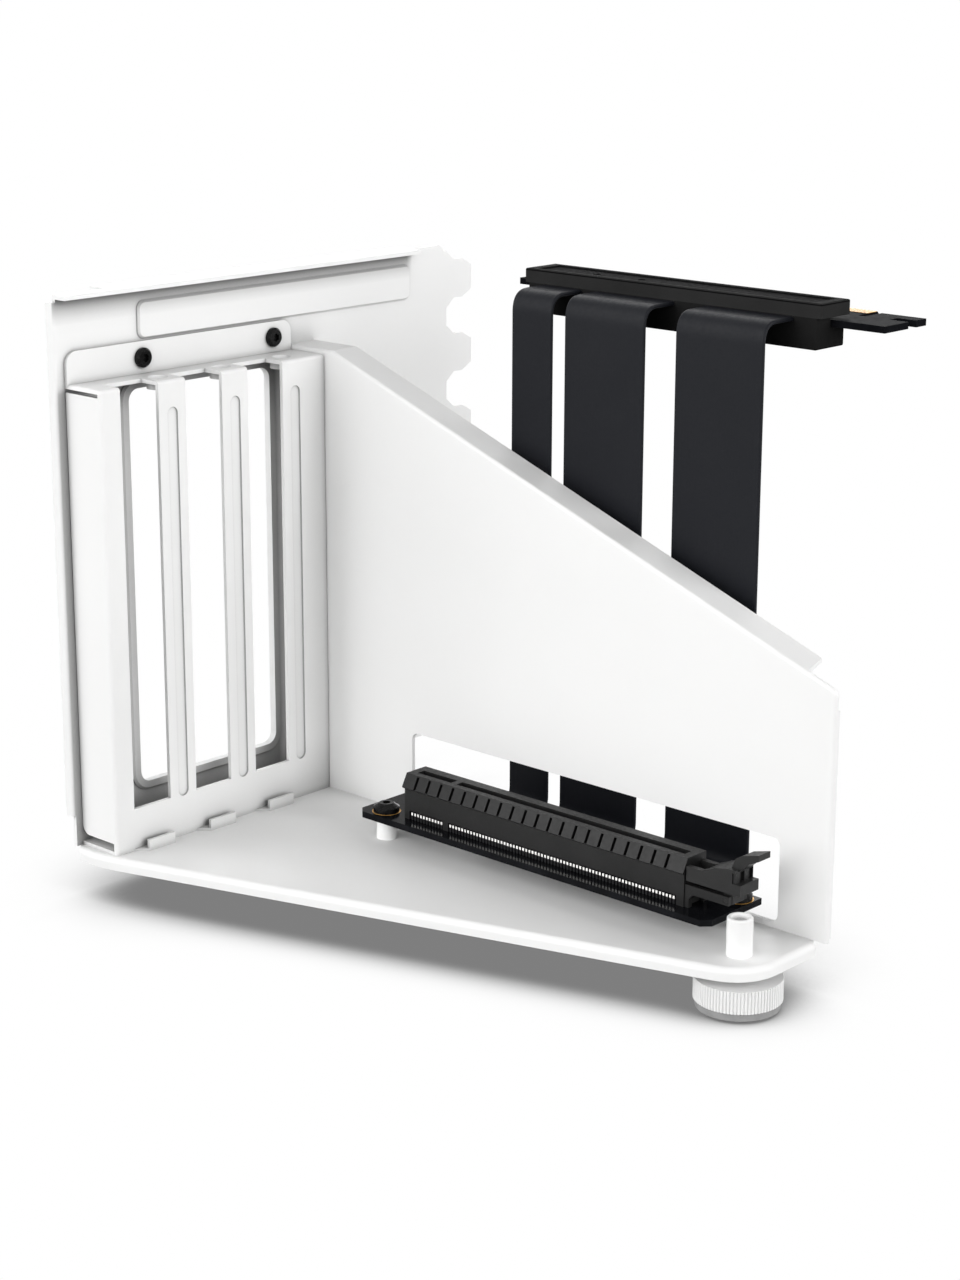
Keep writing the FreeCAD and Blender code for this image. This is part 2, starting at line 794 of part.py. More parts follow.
panel = sketch(bracket, "XZ")
polygon(panel, [
    (S.gauge, -S.gauge * 0.5),
    (relief, -S.gauge * 0.5),
    (relief, 0),
    (panel_right, 0),
    (panel_right, S.panel_low),
    (S.slope_start, S.panel_top),
    (S.gauge, S.panel_top),
])
pad(bracket, panel, S.gauge, back=True)
fall = S.panel_top - S.panel_low
reach = panel_right - S.slope_start
slant = root(fall * fall + reach * reach)
flange_low = S.panel_top - (panel_flange_end - S.slope_start) * fall / reach
flange = sketch(bracket, "XZ")
polygon(flange, [
    (S.gauge, S.panel_top),
    (S.gauge, S.panel_top - S.gauge),
    (S.slope_start - S.gauge * (slant - reach) / fall, S.panel_top - S.gauge),
    (panel_flange_end - S.gauge * fall / slant, flange_low - S.gauge * reach / slant),
    (panel_flange_end, flange_low),
    (S.slope_start, S.panel_top),
])
pad(bracket, flange, S.panel_flange_depth, back=True)
trim = sketch(bracket, "XY", S.panel_low - S.gauge * 2)
polygon(trim, [
    (panel_flange_end, S.gauge),
    (panel_flange_end + S.gauge, S.panel_flange_depth + S.gauge),
    (panel_flange_end - S.panel_flange_slant, S.panel_flange_depth + S.gauge),
])
pocket(bracket, trim, S.gauge * 12, back=True)
slab(bracket, "YZ", panel_right - S.gauge,
     (0, S.panel_rim_depth, S.gauge, S.panel_rim_top), S.gauge)
slab(bracket, "YZ", S.gauge,
     (0, S.weld_flange, S.weld_margin, S.panel_top - S.weld_margin), S.gauge)
soften(bracket, edges(bracket, x=panel_right, y=(0, S.gauge), z=S.panel_low), S.panel_corner)
soften(bracket, edges(bracket, x=(S.gauge, panel_right), y=0, z=(S.panel_low + S.panel_corner, S.panel_top))
       + edges(bracket, x=panel_right, y=0, z=(0, S.panel_low)), S.edge_bend)
gate = sketch(bracket, "XZ")
rounded(gate, S.cable_left, cable_right, S.cable_low, S.cable_high, S.cable_corner)
pocket(bracket, gate, S.gauge)
drill = sketch(bracket, "XY")
circle(drill, foot_reach, -S.foot_front, S.sleeve_spigot)
pocket(bracket, drill, S.gauge)
keep(bracket, "support_bracket")

# Adjustable foot: sleeve in the base, stud with its knurled knob, soft pad

sleeve = body("foot_sleeve")
profile = sketch(sleeve, "XZ")
bore = S.stud_radius + S.stud_clearance
polygon(profile, [
    (bore, -S.gauge),
    (S.sleeve_spigot, -S.gauge),
    (S.sleeve_spigot, 0),
    (S.sleeve_radius, 0),
    (S.sleeve_radius, S.sleeve_height),
    (bore, S.sleeve_height),
])
revolve(sleeve, profile)
soften(sleeve, edges(sleeve, z=S.sleeve_height), S.stud_chamfer * 0.5, "Chamfer")
place(sleeve, foot_reach, -S.foot_front, 0)
keep(sleeve, "foot_sleeve")

stud = body("foot_stud")
profile = sketch(stud, "XZ")
polygon(profile, [
    (0, -S.knob_bottom),
    (S.stud_radius, -S.knob_bottom),
    (S.stud_radius, S.stud_top - S.stud_chamfer),
    (S.stud_radius - S.stud_chamfer, S.stud_top),
    (0, S.stud_top),
])
revolve(stud, profile)
place(stud, foot_reach, -S.foot_front, 0)
keep(stud, "foot_stud")

knob = body("foot_knob")
profile = sketch(knob, "XZ")
polygon(profile, [
    (S.stud_radius, -S.knob_bottom - S.pivot_depth),
    (S.pivot_radius, -S.knob_bottom - S.pivot_depth),
    (S.pivot_radius, -S.knob_bottom),
    (S.knob_radius, -S.knob_bottom),
    (S.knob_radius, -S.knob_top),
    (S.stud_radius, -S.knob_top),
])
revolve(knob, profile)
knurl = sketch(knob, "XY", -S.knob_top)
polygon(knurl, [
    (S.knob_radius - S.knurl_depth, 0),
    (S.knob_radius + S.knurl_depth, -S.knurl_half * 2),
    (S.knob_radius + S.knurl_depth, S.knurl_half * 2),
])
ring(knob, pocket(knob, knurl, S.knob_bottom - S.knob_top), S.knurl_count)
place(knob, foot_reach, -S.foot_front, 0)
keep(knob, "foot_knob")

foot = body("foot_pad")
profile = sketch(foot, "XZ")
pad_top = -S.knob_bottom - S.pivot_clearance
seat = pad_top - S.pivot_depth
seat_radius = S.pivot_radius + S.pivot_clearance
polygon(profile, [
    (0, -S.pad_bottom),
    (S.pad_radius - S.pad_edge, -S.pad_bottom),
    (S.pad_radius, -S.pad_bottom + S.pad_edge),
    (S.pad_radius, pad_top),
    (seat_radius, pad_top),
    (seat_radius, seat),
    (0, seat),
])
revolve(foot, profile)
place(foot, foot_reach, -S.foot_front, 0)
keep(foot, "foot_pad")

# Riser board on its standoffs

board_top = S.board_low + S.board_gauge
spots = (
    ("left", S.board_left + S.screw_left_inset, S.screw_left_front),
    ("right", board_right - S.screw_right_inset, S.screw_right_front),
)
posts = []
screws = []
for name, x, front in spots:
    post = body(f"standoff_{name}")
    profile = sketch(post, "XZ")
    bore = S.board_screw_shank + S.screw_clearance
    polygon(profile, [(bore, 0), (S.standoff_radius, 0), (S.standoff_radius, S.board_low), (bore, S.board_low)])
    revolve(post, profile)
    place(post, x, -front, 0)
    posts.append(post)
    new = screw(f"board_screw_{name}", S.board_screw_shank, S.board_screw_head,
                S.board_screw_head_height, S.board_screw_dome, S.board_screw_length)
    place(new, x, -front, board_top)
    screws.append(new)
group("board_standoffs", posts)

board = body("riser_board")
outline = sketch(board, "XY", S.board_low)
polygon(outline, [
    (S.board_left + S.board_corner, -S.board_front),
    (board_right - S.board_corner, -S.board_front),
    (board_right, S.board_corner - S.board_front),
    (board_right, -S.board_back),
    (S.board_left, -S.board_back),
    (S.board_left, S.board_corner - S.board_front),
])
pad(board, outline, S.board_gauge)
drill = sketch(board, "XY", board_top)
for name, x, front in spots:
    circle(drill, x, -front, S.board_screw_shank + S.screw_clearance)
pocket(board, drill, S.board_gauge)
keep(board, "riser_board")
group("board_screws", screws)

# Card socket: hooded housing, card slot with its key, slits and latch arms

housing = body("slot_housing")
middle = -S.socket_centre
section = sketch(housing, "YZ", socket_left)
rectangle(section, middle - S.socket_half, middle + S.socket_half, board_top, S.hood_low + S.hood_step)
pad(housing, section, socket_right - socket_left)
hood = sketch(housing, "YZ", socket_left - S.hood_overhang)
polygon(hood, [
    (middle - S.socket_half, S.hood_low),
    (middle + S.socket_half, S.hood_low),
    (middle + S.hood_half, S.hood_low + S.hood_step),
    (middle + S.hood_half, S.socket_top),
    (middle - S.hood_top_half, S.socket_top),
    (middle - S.hood_half, S.hood_low + S.hood_step),
])
pad(housing, hood, socket_right - socket_left + S.hood_overhang)
slot_middle = middle + S.card_shift
for first, last in card_spans:
    mouth = sketch(housing, "XY", S.socket_top)
    rectangle(mouth, first, last, slot_middle - S.card_half, slot_middle + S.card_half)
    pocket(housing, mouth, S.socket_top - S.card_floor)
slit = sketch(housing, "XZ", S.socket_centre + S.hood_half)
slit_first = S.contact_first + S.slit_lead
rectangle(slit, slit_first, slit_first + S.slit_width, S.slit_low, S.slit_high)
slit_pitch = (contact_span - S.slit_margin) / (S.slit_count - 1)
row(housing, pocket(housing, slit, S.slit_depth), "H_Axis", slit_pitch, S.slit_count)
for first, last in card_spans:
    for side in (-1, 1):
        recess = sketch(housing, "XY", board_top)
        outer = middle + S.socket_half * side
        rectangle(recess, first, last, outer - S.tail_recess * side, outer)
        pocket(housing, recess, S.tail_recess_top - board_top, back=True)
for side in (-1, 1):
    arm_outer = middle + (S.socket_half - S.arm_inset) * side
    arm_inner = arm_outer - S.arm_gauge * side
    arm = sketch(housing, "XZ")
    polygon(arm, [
        (socket_right, board_top),
        (socket_right + S.arm_gauge, board_top),
        (socket_right + S.arm_gauge, S.arm_low - S.arm_gauge),
        (socket_right + S.arm_gauge * 2, S.arm_low),
        (pivot_reach + S.arm_tip, S.arm_low),
        (pivot_reach + S.arm_tip, S.arm_high),
        (socket_right, S.arm_high),
    ])
    bind(arm, "AttachmentOffset.Base.z", -arm_outer)
    pad(housing, arm, S.arm_gauge, back=side < 0)
eye = sketch(housing, "XZ", S.socket_centre + S.socket_half)
circle(eye, pivot_reach, S.pivot_height, S.pin_radius + S.pin_clearance)
pocket(housing, eye, S.socket_half * 2)
keep(housing, "slot_housing")

# Contacts: two rows of tails along the foot of the housing


def contact_row(first, pitch, y, depth, z, height, width):
    """Separate small bars, the short group, the key's gap and the long group."""
    bars = []
    short = int(S.contact_short.value)
    for index in range(short + int(S.contact_long.value)):
        gap = contact_gap.value - pitch if index >= short else 0.0
        x = first + index * pitch + gap
        bars.append(Part.makeBox(width, depth, height, V(x - width / 2, y, z)))
    return bars


tails = []
half = S.socket_half.value
for y in (-S.socket_centre.value - half + S.tail_recess.value - S.contact_depth.value,
          -S.socket_centre.value + half - S.tail_recess.value):
    tails += contact_row(S.contact_first.value, S.contact_pitch.value, y, S.contact_depth.value,
                         board_top.value, S.contact_top.value - board_top.value, S.contact_width.value)
contacts = doc.addObject("Part::Feature", "slot_contacts")
contacts.Shape = Part.makeCompound(tails)
contacts.Placement = FreeCAD.Placement()
keep(contacts, "slot_contacts")

# Card latch: forked lever on two pins with a thumb tail

latch = body("slot_latch")
ramp = latch_left + S.latch_ramp
crest = latch_left + S.latch_crest
back = latch_left + S.latch_length
nose = back + S.latch_nose
lever = sketch(latch, "XZ", S.socket_centre + S.latch_half)
polygon(lever, [
    (latch_left, S.latch_low),
    (nose, S.latch_low),
    (nose, S.latch_nose_top),
    (back, S.latch_nose_top),
    (back, S.latch_top),
    (crest, S.latch_top),
    (ramp, S.latch_top - S.latch_drop),
    (latch_left + S.latch_foot, S.latch_arm_top),
    (latch_left, S.latch_arm_top),
])
pad(latch, lever, S.latch_half * 2, back=True)
fork = sketch(latch, "XY", S.latch_top)
rectangle(fork, latch_left - S.gauge, latch_left + S.latch_fork,
          middle - S.latch_half + S.latch_arm, middle + S.latch_half - S.latch_arm)
pocket(latch, fork, S.latch_top - S.latch_low - S.gauge)
recess = sketch(latch, "YZ", back)
first = middle - S.recess_first
rectangle(recess, first - S.recess_half, first + S.recess_half, S.latch_nose_top, S.recess_high)
row(latch, pocket(latch, recess, S.recess_depth), "H_Axis", S.recess_pitch, S.recess_count)
thumb = sketch(latch, "XZ", S.socket_centre + S.thumb_half)
polygon(thumb, [
    (crest, S.latch_top - S.thumb_gauge * 0.4),
    (back, S.latch_top - S.thumb_gauge * 0.4),
    (back + S.thumb_heel, S.thumb_top - S.thumb_gauge - S.thumb_dip),
    (back + S.thumb_length, S.thumb_top - S.thumb_gauge),
    (back + S.thumb_length, S.thumb_top),
    (back + S.thumb_knee, S.thumb_top - S.thumb_dip),
    (back - S.thumb_knee, S.thumb_top - S.thumb_dip * 2),
])
pad(latch, thumb, S.thumb_half * 2, back=True)
lug_half = S.socket_half - S.arm_inset - S.arm_gauge - S.pin_clearance * 2
lug = sketch(latch, "XZ", S.socket_centre + lug_half)
lug_reach = S.pin_radius * 2
polygon(lug, [
    (pivot_reach - lug_reach, S.pivot_height - lug_reach),
    (pivot_reach + lug_reach, S.pivot_height - lug_reach),
    (pivot_reach + lug_reach, S.latch_low + S.gauge),
    (pivot_reach - lug_reach, S.latch_low + S.gauge),
])
pad(latch, lug, lug_half * 2, back=True)
pin = sketch(latch, "XZ", S.socket_centre + S.latch_half)
circle(pin, pivot_reach, S.pivot_height, S.pin_radius)
pad(latch, pin, S.latch_half * 2, back=True)
keep(latch, "slot_latch")

# Ribbon cables: flat strips along straight runs and tangent arcs


def ribbon(label, left, width):
    """One flat cable from under the board's back edge up to the plug's front face."""
    half = S.ribbon_gauge.value / 2
    start, plane, end = -S.board_back.value - S.ribbon_lap.value, S.ribbon_plane.value, S.plug_front.value
    low, high = S.board_low.value - half, S.ribbon_high.value
    lower, upper = S.ribbon_low_bend.value, S.ribbon_high_bend.value
    turn = math.sqrt(0.5)

    def at(y, z):
        return V(left.value, y, z)

    path = Part.Wire([
        Part.makeLine(at(start, low), at(plane - lower, low)),
        Part.Arc(at(plane - lower, low),
                 at(plane - lower + lower * turn, low + lower - lower * turn),
                 at(plane, low + lower)).toShape(),
        Part.makeLine(at(plane, low + lower), at(plane, high - upper)),
        Part.Arc(at(plane, high - upper),
                 at(plane + upper - upper * turn, high - upper + upper * turn),
                 at(plane + upper, high)).toShape(),
        Part.makeLine(at(plane + upper, high), at(end, high)),
    ])
    far = left.value + width.value
    mouth = Part.makePolygon([
        V(left.value, start, low - half), V(far, start, low - half),
        V(far, start, low + half), V(left.value, start, low + half), V(left.value, start, low - half)])
    new = doc.addObject("Part::Feature", label)
    new.Shape = path.makePipeShell([mouth], True, False)
    new.Placement = FreeCAD.Placement()
    return keep(new, label)


ribbon("ribbon_narrow", S.narrow_left, S.narrow_width)
ribbon("ribbon_mid", S.mid_left, S.mid_width)
ribbon("ribbon_wide", S.wide_left, S.wide_width)

# Cable plug: two shell halves round an edge-connector board

tongue_left = S.finger_first - S.tongue_lead
tongue_right = S.finger_first + contact_span + S.tongue_tail
plug_right = tongue_right + S.plug_overhang
hook_neck = tongue_right + S.plug_hook_neck
hook_reach = tongue_right + S.plug_hook_end
lower_shell = body("plug_lower_shell")
outline = sketch(lower_shell, "XY", S.plug_low)
rectangle(outline, S.plug_left + S.plug_inset, plug_right - S.plug_inset, S.plug_front, S.plug_back - S.plug_edge)
pad(lower_shell, outline, S.plug_split - S.plug_low)
soften(lower_shell, edges(lower_shell, z=S.plug_low), S.plug_edge)
bed = sketch(lower_shell, "XY", S.plug_split)
rectangle(bed, S.plug_left, plug_right, S.plug_board_front - S.plug_board_clearance, S.plug_back)
pocket(lower_shell, bed, S.plug_split - S.plug_board_top + S.plug_board_gauge)
keep(lower_shell, "plug_lower_shell")

upper_shell = body("plug_upper_shell")
outline = sketch(upper_shell, "XY", S.plug_split)
rectangle(outline, S.plug_left, plug_right, S.plug_front, S.plug_back)
pad(upper_shell, outline, S.plug_top - S.plug_split)
soften(upper_shell, edges(upper_shell, z=S.plug_top)
       + edges(upper_shell, z=(S.plug_split, S.plug_top), x=plug_right, y=S.plug_front), S.plug_edge)
inset = sketch(upper_shell, "XY", S.plug_top)
rectangle(inset, S.plug_left + S.plug_recess_margin * 2, plug_right - S.plug_recess_margin * 2,
          S.plug_front + S.plug_recess_margin, S.plug_back - S.plug_recess_margin)
pocket(upper_shell, inset, S.plug_recess)
well = sketch(upper_shell, "XY", S.plug_top - S.plug_recess)
circle(well, S.plug_screw_first, S.plug_screw_back, S.plug_screw_radius + S.screw_clearance)
row(upper_shell, pocket(upper_shell, well, S.plug_screw_depth), "H_Axis", S.plug_screw_pitch, S.plug_screw_count)
keep(upper_shell, "plug_upper_shell")

plug_board = body("plug_board")
outline = sketch(plug_board, "XY", S.plug_board_top - S.plug_board_gauge)
front_left = S.plug_left + S.plug_inset + S.gauge
polygon(outline, [
    (front_left, S.plug_board_front),
    (hook_reach, S.plug_board_front),
    (hook_reach, S.board_tail_back),
    (hook_neck, S.board_tail_back),
    (hook_neck, S.board_hook_front),
    (hook_reach, S.board_hook_front),
    (hook_reach, S.board_hook_back),
    (tongue_right + S.plug_hook_gap, S.board_hook_back),
    (tongue_right + S.plug_hook_gap, S.plug_shoulder_back),
    (tongue_right, S.plug_shoulder_back),
    (tongue_right, S.tongue_back),
    (tongue_left, S.tongue_back),
    (tongue_left, S.plug_shoulder_back),
    (S.plug_board_left, S.plug_shoulder_back),
    (S.plug_board_left, S.plug_shoulder_front),
    (front_left, S.plug_shoulder_front),
])
pad(plug_board, outline, S.plug_board_gauge)
soften(plug_board, edges(plug_board, y=S.tongue_back, z=S.plug_board_top)
       + edges(plug_board, y=S.tongue_back, z=S.plug_board_top - S.plug_board_gauge), S.tongue_bevel, "Chamfer")
keep(plug_board, "plug_board")

fingers = doc.addObject("Part::Feature", "plug_fingers")
finger_length = S.tongue_back.value - S.tongue_bevel.value - S.finger_front.value
bars = []
for z in (S.plug_board_top.value, S.plug_board_top.value - S.plug_board_gauge.value - S.finger_gauge.value):
    bars += contact_row(S.finger_first.value, S.contact_pitch.value, S.finger_front.value, finger_length,
                        z, S.finger_gauge.value, S.finger_width.value)
fingers.Shape = Part.makeCompound(bars)
fingers.Placement = FreeCAD.Placement()
keep(fingers, "plug_fingers")

plug_screws = []
for index in range(int(S.plug_screw_count.value)):
    new = body(f"plug_screw_{index + 1}")
    profile = sketch(new, "XZ")
    polygon(profile, [
        (0, -S.plug_screw_depth),
        (S.plug_screw_radius, -S.plug_screw_depth),
        (S.plug_screw_radius, -S.plug_recess),
        (S.plug_screw_radius * 0.5, -S.plug_recess * 0.5),
        (0, -S.plug_recess * 0.5),
    ])
    revolve(new, profile)
    place(new, S.plug_screw_first + S.plug_screw_pitch * index, S.plug_screw_back, S.plug_top - S.plug_recess)
    plug_screws.append(new)
group("plug_screws", plug_screws)

# Write one file per piece

doc.recompute()
for item in doc.Objects:
    if "Invalid" in item.State or "Error" in item.State:
        raise RuntimeError(f"{item.Name} did not build: {item.State}")
os.makedirs("parts", exist_ok=True)
for piece in nodes:
    shape = piece.Shape
    if shape.isNull() or not shape.isValid() or not shape.Solids:
        raise RuntimeError(f"{piece.Label} is not a sound solid")
    shape.exportStep(f"parts/{piece.Label}.step")
    box = shape.BoundBox
    print(f"{piece.Label:18s} solids {len(shape.Solids):4d}  volume {shape.Volume:10.1f}"
          f"  x {box.XMin:7.1f} {box.XMax:7.1f}  y {box.YMin:7.1f} {box.YMax:7.1f}"
          f"  z {box.ZMin:7.1f} {box.ZMax:7.1f}")
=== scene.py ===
import math

import bmesh
import bpy
from mathutils import Matrix, Vector


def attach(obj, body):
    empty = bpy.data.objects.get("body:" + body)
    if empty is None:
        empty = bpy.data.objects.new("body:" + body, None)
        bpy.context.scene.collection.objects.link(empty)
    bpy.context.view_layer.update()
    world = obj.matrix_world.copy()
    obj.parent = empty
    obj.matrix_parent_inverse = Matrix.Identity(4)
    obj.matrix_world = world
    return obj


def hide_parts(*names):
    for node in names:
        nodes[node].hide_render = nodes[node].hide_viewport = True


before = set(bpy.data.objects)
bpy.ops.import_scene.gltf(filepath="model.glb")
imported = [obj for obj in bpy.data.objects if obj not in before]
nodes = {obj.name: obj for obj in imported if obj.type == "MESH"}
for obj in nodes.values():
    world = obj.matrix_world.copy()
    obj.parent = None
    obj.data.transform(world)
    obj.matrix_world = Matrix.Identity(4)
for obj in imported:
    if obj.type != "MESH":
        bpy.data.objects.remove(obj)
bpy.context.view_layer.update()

MM = 0.001
scene = bpy.context.scene
scene.view_settings.view_transform = "Standard"


def grey(value):
    return (value, value, value)


def opaque(colour):
    return (*colour, 1.0)


WHITE = opaque(grey(1.0))

# Camera: the photograph's eye point and turn, worked out for a 960 by 1280 picture
PHOTO_WIDTH = 960
FOCAL_PX = 2602.55
SENSOR_MM = 36.0
NEAR_M = 0.01
FAR_M = 50.0
EYE_MM = (488.9, -456.66, 225.13)
RIGHT = (0.735025, 0.678039, 0.002710)
UP = (-0.185001, 0.196693, 0.962860)
BACK = (0.652320, -0.708220, 0.270010)


def add_camera():
    data = bpy.data.cameras.new("camera")
    data.sensor_fit = "HORIZONTAL"
    data.sensor_width = SENSOR_MM
    data.lens = FOCAL_PX * SENSOR_MM / PHOTO_WIDTH
    data.clip_start = NEAR_M
    data.clip_end = FAR_M
    camera = bpy.data.objects.new("camera", data)
    scene.collection.objects.link(camera)
    turn = Matrix((RIGHT, UP, BACK)).transposed()
    camera.matrix_world = Matrix.Translation(Vector(EYE_MM) * MM) @ turn.to_4x4()
    scene.camera = camera


# Node materials
# Stretch in which most values of a noise lie
NOISE_LOW = 0.3
NOISE_HIGH = 0.7
# Turn of the wave texture for each unit of place, in radians
WAVE_TURN = 20.0
HOLLOW_SAMPLES = 12
# Shares of a normal between which a surface comes to face along an axis
FACING_FROM = 0.5
FACING_TO = 0.8


class Finish:
    """A material on one principled shader, with textures in the object's own metres."""

    def __init__(self, name, colour, roughness, metallic=0.0, specular=0.5):
        self.material = bpy.data.materials.new(name)
        self.material.use_nodes = True
        self.tree = self.material.node_tree
        self.shader = self.tree.nodes["Principled BSDF"]
        self.shader.inputs["Base Color"].default_value = opaque(colour)
        self.shader.inputs["Roughness"].default_value = roughness
        self.shader.inputs["Metallic"].default_value = metallic
        self.shader.inputs["Specular IOR Level"].default_value = specular
        self.place = self.add("ShaderNodeTexCoord").outputs["Object"]
        self.normal = None

    def add(self, kind, **settings):
        node = self.tree.nodes.new(kind)
        for key, value in settings.items():
            setattr(node, key, value)
        return node

    def join(self, source, target):
        self.tree.links.new(source, target)

    def feed(self, value, socket):
        """Joins another node's output to a socket, or sets the socket to a plain value."""
        if isinstance(value, bpy.types.NodeSocket):
            self.join(value, socket)
        else:
            socket.default_value = value

    def noise(self, size_mm, detail=2.0):
        """A noise whose blotches are about size_mm across."""
        node = self.add("ShaderNodeTexNoise")
        node.inputs["Scale"].default_value = 1.0 / (size_mm * MM)
        node.inputs["Detail"].default_value = detail
        self.join(self.place, node.inputs["Vector"])
        return node.outputs["Fac"]

    def waves(self, pitch_mm, axis):
        """Even ridges across one axis, one every pitch_mm."""
        node = self.add("ShaderNodeTexWave", wave_type="BANDS", bands_direction=axis)
        node.inputs["Scale"].default_value = 2 * math.pi / (WAVE_TURN * pitch_mm * MM)
        self.join(self.place, node.inputs["Vector"])
        return node.outputs["Fac"]

    def split(self, vector, axis):
        """One axis of a vector."""
        node = self.add("ShaderNodeSeparateXYZ")
        self.join(vector, node.inputs["Vector"])
        return node.outputs[axis]

    def along(self, axis):
        """The place on one axis of the object, in metres."""
        return self.split(self.place, axis)

    def facing(self, axis):
        """How far the surface faces along one axis, from -1 to 1."""
        return self.split(self.add("ShaderNodeNewGeometry").outputs["Normal"], axis)

    def span(self, source, start, end, low=0.0, high=1.0):
        """Turns a value's run from start to end into one from low to high."""
        node = self.add("ShaderNodeMapRange")
        node.inputs["From Min"].default_value = start
        node.inputs["From Max"].default_value = end
        node.inputs["To Min"].default_value = low
        node.inputs["To Max"].default_value = high
        self.join(source, node.inputs["Value"])
        return node.outputs["Result"]

    def work_out(self, operation, *values):
        """The result of one operation on sockets and numbers."""
        node = self.add("ShaderNodeMath", operation=operation)
        for value, socket in zip(values, node.inputs):
            self.feed(value, socket)
        return node.outputs["Value"]

    def ramp(self, source, stops):
        """A colour for each value from 0 to 1, between stops of place and colour."""
        node = self.add("ShaderNodeValToRGB")
        elements = node.color_ramp.elements
        first, last = elements
        first.position, first.color = stops[0]
        last.position, last.color = stops[-1]
        for position, colour in stops[1:-1]:
            elements.new(position).color = colour
        self.join(source, node.inputs["Fac"])
        return node.outputs["Color"]

    def paint(self, colour):
        """Makes a colour the shader's own, and gives it back."""
        self.join(colour, self.shader.inputs["Base Color"])
        return colour

    def tint(self, source, dark, light):
        """Lets a texture move the colour between two others."""
        return self.paint(self.ramp(source, ((NOISE_LOW, opaque(dark)), (NOISE_HIGH, opaque(light)))))

    def blend(self, share, first, second, kind="MIX"):
        """Lets a share of the second colour in over the first."""
        node = self.add("ShaderNodeMix", data_type="RGBA", blend_type=kind)
        self.feed(share, node.inputs["Factor"])
        self.feed(first, node.inputs["A"])
        self.feed(second, node.inputs["B"])
        return self.paint(node.outputs["Result"])

    def paint_hollow_shade(self, colour, reach_mm, power, share, alone=False, where=1.0):
        """Paints shade into the colour, letting it fall to a share of itself where the surface is closed
        in.
        """
        near = self.add("ShaderNodeAmbientOcclusion", samples=HOLLOW_SAMPLES, only_local=alone)
        near.inputs["Distance"].default_value = reach_mm * MM
        left = self.add("ShaderNodeMapRange", interpolation_type="SMOOTHSTEP")
        left.inputs["To Min"].default_value = share
        self.join(self.work_out("POWER", near.outputs["AO"], power), left.inputs["Value"])
        return self.blend(where, colour, left.outputs["Result"], "MULTIPLY")

    def rough(self, source, low, high):
        """Lets a texture move the roughness between two values."""
        self.join(self.span(source, NOISE_LOW, NOISE_HIGH, low, high), self.shader.inputs["Roughness"])

    def bump(self, source, height_mm, strength):
        """Adds relief of about that height to the surface."""
        node = self.add("ShaderNodeBump")
        node.inputs["Strength"].default_value = strength
        node.inputs["Distance"].default_value = height_mm * MM
        self.join(source, node.inputs["Height"])
        if self.normal is not None:
            self.join(self.normal, node.inputs["Normal"])
        self.normal = node.outputs["Normal"]
        self.join(self.normal, self.shader.inputs["Normal"])


# White paint
PAINT = 0.83
PAINT_DARK = (PAINT - 0.012, PAINT - 0.012, PAINT - 0.016)
PAINT_LIGHT = (PAINT + 0.006, PAINT + 0.006, PAINT + 0.002)
PAINT_SPECULAR = 0.3
SHEET_ROUGHNESS = 0.42
FIXING_ROUGHNESS = 0.36
# Soft edge of the stretches of the plate where shade is painted
STRETCH_EDGE = 2.0
# Top and right end of the plate's stretch behind the cage, and the painted shade of its hollow
CAGE_TOP = 116.0
CAGE_RIGHT = -4.0
CAGE_PAINTED_SHADE = (16.0, 1.0, 0.36)
# Underside and right end of the plate's lip, and how the painted shade under it fades over its reach
LIP_UNDER = 136.6
LIP_RIGHT = 45.7
LIP_REACH = 6.5
LIP_SHARES = (
    (0.0, 1.0), (0.004, 0.24), (0.06, 0.36), (0.25, 0.5), (0.5, 0.7), (0.75, 0.88), (1.0, 1.0),
)


def cage_shade(finish, colour):
    """Paints shade on the face of the plate where the cage shuts it in."""
    below = finish.span(finish.along("Z"), CAGE_TOP * MM, (CAGE_TOP - STRETCH_EDGE) * MM)
    inside = finish.span(finish.along("Y"), CAGE_RIGHT * MM, (CAGE_RIGHT - STRETCH_EDGE) * MM)
    return finish.paint_hollow_shade(colour, *CAGE_PAINTED_SHADE, where=finish.work_out("MULTIPLY", below, inside))


def lip_shade(finish, colour):
    """Paints shade on the face of the plate, darkest under its lip."""
    drop = finish.span(finish.along("Z"), LIP_UNDER * MM, (LIP_UNDER - LIP_REACH) * MM)
    shade = finish.ramp(drop, [(place, opaque(grey(share))) for place, share in LIP_SHARES])
    front = finish.span(finish.facing("X"), FACING_FROM, FACING_TO)
    inside = finish.span(finish.along("Y"), LIP_RIGHT * MM, (LIP_RIGHT - STRETCH_EDGE) * MM)
    return finish.blend(finish.work_out("MULTIPLY", front, inside), colour, shade, "MULTIPLY")


def powder_coat(name, roughness, *hollows, shades=()):
    """Satin white paint with a faint orange peel, with painted shade where it is closed in."""
    finish = Finish(name, grey(PAINT), roughness, specular=PAINT_SPECULAR)
    colour = finish.tint(finish.noise(45.0), PAINT_DARK, PAINT_LIGHT)
    for hollow in hollows:
        colour = finish.paint_hollow_shade(colour, *hollow)
    for shade in shades:
        colour = shade(finish, colour)
    finish.rough(finish.noise(2.6), roughness - 0.05, roughness + 0.06)
    finish.bump(finish.noise(0.85, detail=1.0), height_mm=0.012, strength=0.6)
    return finish.material


# Black plastics, rubber and lacquer
MOULD_GRAIN = 0.35
# Height and half thickness of the darker panel in the plug's top
SHELL_PANEL = 139.7
SHELL_PANEL_HALF = 0.15
SHELL_PANEL_COLOUR = (0.004, 0.004, 0.0042)
WIRE_PITCH = 0.9
TRACK_PITCH = 1.0


def moulded(name, dark, light, roughness):
    """Black plastic with the fine sparkle of an eroded mould."""
    finish = Finish(name, light, roughness, specular=0.22)
    finish.tint(finish.noise(9.0, detail=4.0), dark, light)
    finish.rough(finish.noise(MOULD_GRAIN * 2.2), roughness - 0.07, roughness + 0.08)
    finish.bump(finish.noise(MOULD_GRAIN, detail=1.0), height_mm=0.012, strength=0.7)
    return finish.material


